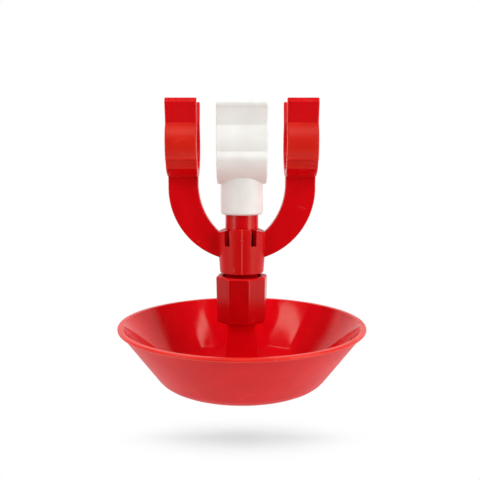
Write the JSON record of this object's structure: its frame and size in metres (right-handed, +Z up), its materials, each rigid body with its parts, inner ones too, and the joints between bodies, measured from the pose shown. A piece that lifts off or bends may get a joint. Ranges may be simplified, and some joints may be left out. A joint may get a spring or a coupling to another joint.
{
  "type": "poultry cup drinker",
  "caption": "Hanging poultry drinker: spring clips hold a valve under a water pipe, and a sprung conical bowl closes the valve as it fills; an octagonal nut sets the level.",
  "frame": {"origin": "on the axis of the clips' bores (the water pipe's axis), in the middle of the saddle clip", "axes": "+X along the water pipe, -Y towards the front as pictured, +Z up"},
  "size_m": [0.1226, 0.1226, 0.1391],
  "materials": {
    "red_plastic": "moulded polypropylene, semi-gloss red",
    "white_plastic": "moulded plastic, semi-gloss warm white",
    "black_rubber": "matt moulded rubber",
    "stainless_steel": "drawn and turned stainless steel"
  },
  "bodies": {
    "hanger": {"saddle_clip": "white_plastic", "saddle_gasket": "black_rubber", "spigot_seal": "black_rubber", "inlet_filter": "white_plastic", "valve_body": "red_plastic", "yoke": "red_plastic", "spring": "stainless_steel"},
    "spindle": {"valve_pin": "stainless_steel", "valve_washer": "black_rubber", "spring_cap": "white_plastic", "pin_washer": "stainless_steel", "pin_nut": "stainless_steel"},
    "cup": {"bowl": "red_plastic"},
    "spring_rest": {"slip_washer": "stainless_steel"},
    "level_nut": {"adjusting_nut": "red_plastic"}
  },
  "joints": [
    {"name": "bowl_drop", "type": "slide", "parent": "hanger", "child": "spindle", "axis": [0, 0, -1], "range_m": [0, 0.0027], "stiffness_N_per_m": 250, "springref_m": -0.0034, "deforming": ["spring"]},
    {"name": "bowl_spin", "type": "hinge", "parent": "spindle", "child": "cup", "pos_m": [0, 0, -0.081], "axis": [0, 0, 1], "continuous": true},
    {"name": "nut_travel", "type": "slide", "parent": "hanger", "child": "spring_rest", "axis": [0, 0, 1], "range_m": [-0.001, 0.001], "deforming": ["spring"]},
    {"name": "nut_turn", "type": "hinge", "parent": "spring_rest", "child": "level_nut", "pos_m": [0, 0, -0.0757], "axis": [0, 0, 1], "range_deg": [-180, 180]}
  ],
  "couplings": [
    {"joint": "nut_turn", "follows": "nut_travel", "rad_per_m": 3141.5}
  ]
}
